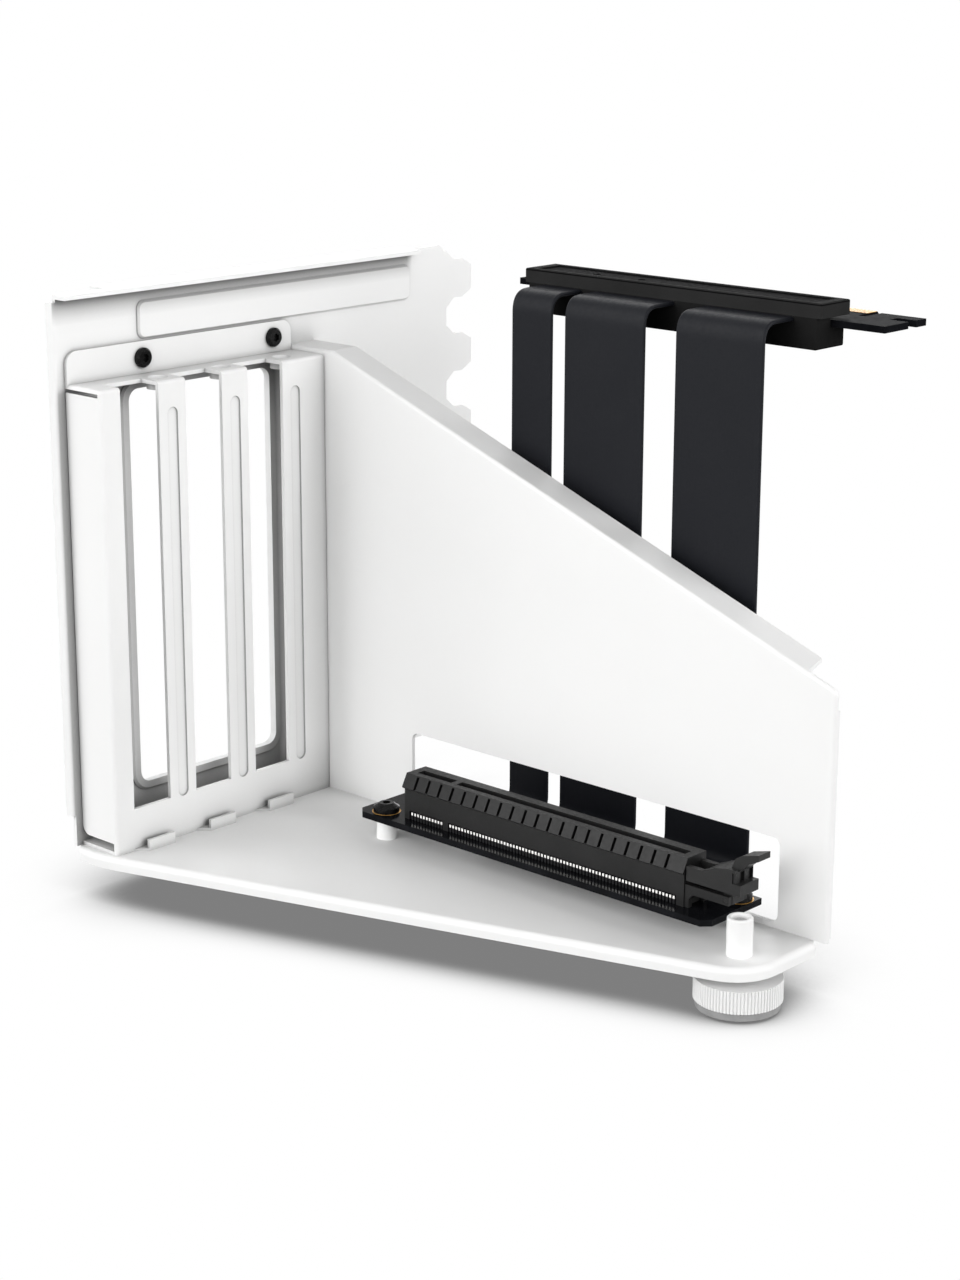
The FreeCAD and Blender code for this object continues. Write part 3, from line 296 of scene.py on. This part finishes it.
def shell_plastic(name, dark, light):
    """Grained black plastic whose shallow top panel is darker."""
    finish = Finish(name, light, 0.6, specular=0.004)
    grain = finish.tint(finish.noise(9.0, detail=4.0), dark, light)
    panel = finish.work_out("COMPARE", finish.along("Z"), SHELL_PANEL * MM, SHELL_PANEL_HALF * MM)
    finish.blend(panel, grain, opaque(SHELL_PANEL_COLOUR))
    finish.rough(finish.noise(1.1), 0.53, 0.68)
    finish.bump(finish.noise(0.5, detail=1.0), height_mm=0.02, strength=0.7)
    return finish.material


def jacket():
    """The ribbon cables' smooth black jacket, with the wires just showing along it."""
    finish = Finish("ribbon_jacket", (0.0066, 0.0073, 0.0098), 0.5, specular=0.12)
    finish.tint(finish.noise(14.0, detail=3.0), (0.006, 0.0067, 0.0092), (0.0072, 0.0079, 0.0104))
    finish.rough(finish.noise(0.9), 0.46, 0.58)
    finish.bump(finish.waves(WIRE_PITCH, "X"), height_mm=0.006, strength=0.5)
    finish.bump(finish.noise(0.3), height_mm=0.004, strength=0.5)
    return finish.material


def rubber():
    """Dull grey rubber."""
    finish = Finish("rubber_grey", grey(0.3), 0.75, specular=0.3)
    finish.tint(finish.noise(3.0, detail=4.0), grey(0.26), grey(0.32))
    finish.bump(finish.noise(0.3), height_mm=0.02, strength=0.8)
    return finish.material


def solder_mask(name, roughness, specular):
    """Black lacquer over fine copper tracks."""
    finish = Finish(name, grey(0.006), roughness, specular=specular)
    finish.tint(finish.noise(6.0, detail=3.0), (0.0036, 0.0038, 0.0046), (0.0078, 0.0082, 0.0098))
    finish.rough(finish.noise(1.1), roughness - 0.03, roughness + 0.04)
    finish.bump(finish.waves(TRACK_PITCH, "X"), height_mm=0.004, strength=0.4)
    finish.bump(finish.noise(0.25), height_mm=0.0015, strength=0.5)
    return finish.material


# Metals
THREAD_PITCH = 0.7
THREAD_DEPTH = 0.25
# Heights between which the contact tails' painted shade turns from dark to bright
TAIL_DARK = 8.1
TAIL_BRIGHT = 8.25
# Colour of the painted shade and reflection on the tails
TAIL_PAINTED_SHADE_COLOUR = (0.012, 0.012, 0.013)


def screw_black():
    """Smooth black oxide on steel."""
    finish = Finish("screw_black", grey(0.004), 0.25, specular=0.14)
    finish.tint(finish.noise(1.2, detail=3.0), grey(0.003), grey(0.006))
    finish.rough(finish.noise(0.4), 0.16, 0.3)
    return finish.material


def stud_metal():
    """Bright steel with the thread's ridges."""
    finish = Finish("stud_metal", grey(0.6), 0.3, metallic=1.0)
    finish.tint(finish.noise(1.5), grey(0.5), grey(0.66))
    finish.rough(finish.noise(0.5), 0.24, 0.4)
    finish.bump(finish.waves(THREAD_PITCH, "Z"), height_mm=THREAD_DEPTH, strength=0.9)
    return finish.material


def tinned():
    """Bright contact tails, painted dark on their sides and lower part as painted shade and a painted
    reflection of the dark board.
    """
    finish = Finish("tin_plate_painted_shade", grey(0.9), 0.6, metallic=0.7)
    bright = finish.tint(finish.noise(0.8, detail=3.0), (0.86, 0.85, 0.83), (0.97, 0.96, 0.94))
    above = finish.span(finish.along("Z"), TAIL_DARK * MM, TAIL_BRIGHT * MM)
    front = finish.span(finish.work_out("ABSOLUTE", finish.facing("Y")), FACING_FROM, FACING_TO)
    # Painted shade and reflection: dark below those heights and on faces not turned to the front or back
    finish.blend(finish.work_out("MULTIPLY", above, front), opaque(TAIL_PAINTED_SHADE_COLOUR), bright)
    finish.rough(finish.noise(0.35), 0.52, 0.68)
    return finish.material


def gold():
    """Thin gold plating, a little worn."""
    dark = (0.46, 0.24, 0.055)
    light = (0.58, 0.33, 0.09)
    finish = Finish("gold_plate", light, 0.34, metallic=0.8, specular=0.1)
    finish.tint(finish.noise(0.8, detail=3.0), dark, light)
    finish.rough(finish.noise(0.35), 0.28, 0.44)
    return finish.material


# A hollow is painted shade where a place is closed in: its reach in millimetres, a power, the share of
# the colour left, and whether only the piece itself closes it in
MATERIALS = {
    "plate": powder_coat("white_coat_plate", SHEET_ROUGHNESS, (9.0, 2.0, 0.4),
                         shades=(cage_shade, lip_shade)),
    "cage": powder_coat("white_coat_cage", SHEET_ROUGHNESS, (16.0, 0.7, 0.24), (2.0, 2.0, 0.68)),
    "bracket": powder_coat("white_coat_bracket", SHEET_ROUGHNESS, (8.0, 0.7, 0.6, True)),
    "fixing": powder_coat("white_fixing", FIXING_ROUGHNESS, (3.0, 0.8, 0.6, True)),
    "screw": screw_black(),
    "stud": stud_metal(),
    "rubber": rubber(),
    "board": solder_mask("solder_mask", 0.16, specular=0.045),
    "plug_board": solder_mask("solder_mask_matt", 0.5, specular=0.004),
    "socket": moulded("socket_plastic", grey(0.006), grey(0.010), 0.46),
    "latch": moulded("latch_plastic", grey(0.012), grey(0.018), 0.42),
    "shell": shell_plastic("shell_plastic", grey(0.0205), grey(0.0255)),
    # A darker copy of the shell plastic: painted shade cast by the upper shell and ribbons
    "lower_shell": shell_plastic("shell_plastic_painted_shade", grey(0.0105), grey(0.0135)),
    "contact": tinned(),
    "gold": gold(),
    "jacket": jacket(),
}

LOOKS = {
    "rear_plate": "plate",
    "slot_cage": "cage",
    "support_bracket": "bracket",
    "cage_screws": "screw",
    "foot_sleeve": "fixing",
    "foot_stud": "stud",
    "foot_knob": "fixing",
    "foot_pad": "rubber",
    "board_standoffs": "fixing",
    "riser_board": "board",
    "board_screws": "screw",
    "slot_housing": "socket",
    "slot_contacts": "contact",
    "slot_latch": "latch",
    # The lower half of the shell takes the copy of the shell plastic with painted shade
    "plug_lower_shell": "lower_shell",
    "plug_upper_shell": "shell",
    "plug_board": "plug_board",
    "plug_fingers": "gold",
    "plug_screws": "screw",
}


def dress(obj, look):
    if not obj.material_slots:
        obj.data.materials.append(None)
    for slot in obj.material_slots:
        slot.link = "OBJECT"
        slot.material = MATERIALS[look]


def piece(name, mesh_maker, look, body):
    """A new mesh that rides a body of the model."""
    mesh = bpy.data.meshes.new(name)
    work = bmesh.new()
    mesh_maker(work)
    bmesh.ops.recalc_face_normals(work, faces=work.faces)
    work.to_mesh(mesh)
    work.free()
    mesh.shade_smooth()
    obj = bpy.data.objects.new(name, mesh)
    scene.collection.objects.link(obj)
    dress(obj, look)
    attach(obj, body)
    return obj


def bridge(work, first, second):
    """A band of faces between two closed rings of points."""
    for i in range(len(first)):
        j = (i + 1) % len(first)
        work.faces.new((first[i], first[j], second[j], second[i]))


# Ribbon cables: y and z of the route that all three follow, in millimetres
ROUTE_MM = (
    (-3.4, 4.9), (5.6, 4.9), (14.0, 4.9), (14.0, 13.3),
    (14.0, 126.0), (14.0, 135.9), (23.0, 135.9), (24.7, 135.9),
)
ROUTE_STEPS = 16
ROUTE_ORDER = 3
RIBBON_THICK = 1.0
# Name, middle in x and width of each ribbon
RIBBONS = (
    ("narrow", 72.45, 12.9),
    ("mid", 95.3, 24.6),
    ("wide", 129.55, 25.3),
)
# Faces round each half-round edge, and the points across each flat side as shares of its half width
EDGE_STEPS = 6
FLAT_SHARES = (0.985, 0.5, 0.0, -0.5, -0.985)


def route_points(centre):
    """Points along the smooth spline that the route's points control."""
    curve = bpy.data.curves.new("route", "CURVE")
    curve.dimensions = "3D"
    curve.resolution_u = ROUTE_STEPS
    spline = curve.splines.new("NURBS")
    spline.points.add(len(ROUTE_MM) - 1)
    for point, (y, z) in zip(spline.points, ROUTE_MM):
        point.co = (centre * MM, y * MM, z * MM, 1.0)
    spline.order_u = ROUTE_ORDER
    spline.use_endpoint_u = True
    holder = bpy.data.objects.new("route", curve)
    mesh = bpy.data.meshes.new_from_object(holder)
    line = [vertex.co.copy() for vertex in mesh.vertices]
    bpy.data.objects.remove(holder)
    bpy.data.curves.remove(curve)
    bpy.data.meshes.remove(mesh)
    return line


def ribbon_section(width):
    """Half-round edges on a flat strip: across and through, in metres."""
    half = width * MM / 2
    thin = RIBBON_THICK * MM / 2
    out = []
    for side in (1, -1):
        for i in range(EDGE_STEPS + 1):
            angle = math.pi * (i / EDGE_STEPS - 0.5)
            across = half - thin + thin * math.cos(angle)
            out.append((side * across, side * thin * math.sin(angle)))
        for share in FLAT_SHARES:
            out.append((side * share * (half - thin), side * thin))
    return out


def ribbon_mesh(line, width):
    section = ribbon_section(width)

    def make(work):
        rings = []
        for i, point in enumerate(line):
            ahead = line[min(i + 1, len(line) - 1)]
            behind = line[max(i - 1, 0)]
            along = (ahead - behind).normalized()
            across = Vector((1.0, 0.0, 0.0))
            through = across.cross(along)
            rings.append([work.verts.new(point + across * a + through * t) for a, t in section])
        for first, second in zip(rings, rings[1:]):
            bridge(work, first, second)
        work.faces.new(rings[0])
        work.faces.new(rings[-1])

    return make


def add_ribbons():
    for name, centre, width in RIBBONS:
        line = route_points(centre)
        ribbon = piece("cable_" + name, ribbon_mesh(line, width), "jacket", "frame")
        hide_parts("ribbon_" + name)


# Plated rings round the board's two screws: name and middle of each
SCREW_RINGS = (("left", 52.6, -17.5), ("right", 154.0, -5.4))
BOARD_TOP = 7.0
RING_INNER = 1.9
RING_OUTER = 3.65
RING_HEIGHT = 0.04
# Width of the slope on the outer edge, and the share of the height at which it starts
RING_SLOPE = 0.05
RING_SLOPE_FROM = 0.6
RING_POINTS = 64
RING_PROFILE = (
    (RING_INNER, 0.0),
    (RING_OUTER, 0.0),
    (RING_OUTER, RING_SLOPE_FROM * RING_HEIGHT),
    (RING_OUTER - RING_SLOPE, RING_HEIGHT),
    (RING_INNER, RING_HEIGHT),
)


def circle(work, x, y, z, radius):
    """A closed ring of points round an upright axis."""
    out = []
    for i in range(RING_POINTS):
        angle = 2 * math.pi * i / RING_POINTS
        out.append(work.verts.new((
            (x + radius * math.cos(angle)) * MM,
            (y + radius * math.sin(angle)) * MM,
            z * MM,
        )))
    return out


def ring_mesh(x, y):
    def make(work):
        rings = [circle(work, x, y, BOARD_TOP + rise, radius) for radius, rise in RING_PROFILE]
        for first, second in zip(rings, rings[1:] + rings[:1]):
            bridge(work, first, second)

    return make


def add_rings():
    for name, x, y in SCREW_RINGS:
        piece("board_ring_" + name, ring_mesh(x, y), "gold", "frame")


# Room: a seamless white floor, soft lamps from all sides, and pale all-round light
FLOOR_LEVEL = -12.75
FLOOR_HALF_M = 4.0
FLOOR_GREY = 0.25
WORLD_LIGHT = 0.1
# Reach of the floor's painted soft shadow, its darkest value, and the openness over which it fades
SHADE_REACH = 60.0
SHADE_DARK = 0.21
SHADE_FROM = 0.3
SHADE_TO = 0.9
SHADE_SAMPLES = 32
# Name, direction towards it, strength, and spread in degrees of each lamp
LAMPS = (
    ("lamp_left", (-0.45, -0.80, 0.40), 2.33, 60.0),
    ("lamp_front", (0.10, -0.98, 0.12), 1.52, 50.0),
    ("lamp_right", (0.97, -0.15, 0.08), 2.08, 50.0),
    ("lamp_back_right", (0.85, 0.45, 0.25), 1.96, 50.0),
    ("lamp_behind", (-0.78, 0.61, 0.10), 1.9, 60.0),
)


def seen_by_eye(tree):
    """1 where the eye, a mirror or glass looks, 0 for the light that falls on things."""
    path = tree.nodes.new("ShaderNodeLightPath")
    seen = path.outputs["Is Camera Ray"]
    for ray in ("Is Glossy Ray", "Is Transmission Ray"):
        either = tree.nodes.new("ShaderNodeMath")
        either.operation = "MAXIMUM"
        tree.links.new(seen, either.inputs[0])
        tree.links.new(path.outputs[ray], either.inputs[1])
        seen = either.outputs["Value"]
    return seen


def lit_and_seen(tree, lit, seen, output):
    """Joins one shader for the light that falls on things and one for what the eye sees."""
    mix = tree.nodes.new("ShaderNodeMixShader")
    tree.links.new(seen_by_eye(tree), mix.inputs["Fac"])
    tree.links.new(lit, mix.inputs[1])
    tree.links.new(seen, mix.inputs[2])
    tree.links.new(mix.outputs["Shader"], tree.nodes.new(output).inputs["Surface"])


def add_world():
    world = bpy.data.worlds.new("room")
    world.use_nodes = True
    scene.world = world
    tree = world.node_tree
    tree.nodes.clear()
    light = tree.nodes.new("ShaderNodeBackground")
    light.inputs["Color"].default_value = WHITE
    light.inputs["Strength"].default_value = WORLD_LIGHT
    white = tree.nodes.new("ShaderNodeBackground")
    white.inputs["Color"].default_value = WHITE
    lit_and_seen(tree, light.outputs["Background"], white.outputs["Background"], "ShaderNodeOutputWorld")


def floor_material():
    """Matt grey for the light that it throws back, and white with a painted soft shadow to the eye."""
    material = bpy.data.materials.new("floor_white")
    material.use_nodes = True
    tree = material.node_tree
    tree.nodes.clear()
    matt = tree.nodes.new("ShaderNodeBsdfDiffuse")
    matt.inputs["Color"].default_value = opaque(grey(FLOOR_GREY))
    glow = tree.nodes.new("ShaderNodeEmission")
    # Painted shadow: the white to the eye dims where the object closes the floor in
    near = tree.nodes.new("ShaderNodeAmbientOcclusion")
    near.samples = SHADE_SAMPLES
    near.inputs["Distance"].default_value = SHADE_REACH * MM
    shade = tree.nodes.new("ShaderNodeMapRange")
    shade.interpolation_type = "SMOOTHSTEP"
    shade.inputs["From Min"].default_value = SHADE_FROM
    shade.inputs["From Max"].default_value = SHADE_TO
    shade.inputs["To Min"].default_value = SHADE_DARK
    shade.inputs["To Max"].default_value = 1.0
    tree.links.new(near.outputs["AO"], shade.inputs["Value"])
    tree.links.new(shade.outputs["Result"], glow.inputs["Strength"])
    lit_and_seen(tree, matt.outputs["BSDF"], glow.outputs["Emission"], "ShaderNodeOutputMaterial")
    return material


def add_floor():
    mesh = bpy.data.meshes.new("floor")
    corners = [(-FLOOR_HALF_M, -FLOOR_HALF_M), (FLOOR_HALF_M, -FLOOR_HALF_M),
               (FLOOR_HALF_M, FLOOR_HALF_M), (-FLOOR_HALF_M, FLOOR_HALF_M)]
    mesh.from_pydata([(x, y, FLOOR_LEVEL * MM) for x, y in corners], [], [(0, 1, 2, 3)])
    mesh.materials.append(floor_material())
    floor = bpy.data.objects.new("floor", mesh)
    scene.collection.objects.link(floor)


def add_lamps():
    for name, towards, strength, spread in LAMPS:
        data = bpy.data.lights.new(name, "SUN")
        data.energy = strength
        data.angle = math.radians(spread)
        lamp = bpy.data.objects.new(name, data)
        scene.collection.objects.link(lamp)
        lamp.rotation_euler = Vector(towards).to_track_quat("Z", "Y").to_euler()


add_camera()
add_ribbons()
add_rings()
for node_name, look_name in LOOKS.items():
    dress(nodes[node_name], look_name)
add_world()
add_floor()
add_lamps()
